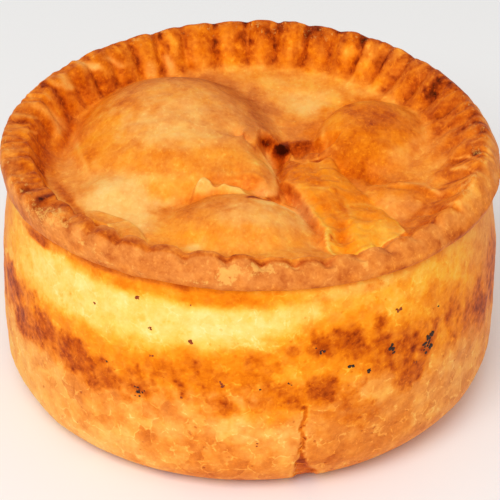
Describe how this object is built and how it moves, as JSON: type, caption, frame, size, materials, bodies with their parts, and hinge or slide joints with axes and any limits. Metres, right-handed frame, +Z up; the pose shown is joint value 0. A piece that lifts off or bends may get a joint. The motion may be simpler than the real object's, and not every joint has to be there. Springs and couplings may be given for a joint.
{
  "type": "pork pie",
  "caption": "Whole round raised pork pie: a straight pastry wall on a flat base, a crimped rim, and a lid puffed into domes round a torn vent.",
  "frame": {"origin": "middle of the flat base, on the surface that the pie stands on", "axes": "+Z up through the lid; -Y towards the side whose wall has the diagonal browned band and the crack; +X to the right of that side"},
  "size_m": [0.095, 0.0954, 0.0512],
  "materials": {
    "baked_pastry": "baked golden hot-water crust pastry, satin to matt, browned in bands"
  },
  "bodies": {
    "root": {"pork_pie": "baked_pastry"}
  },
  "joints": []
}
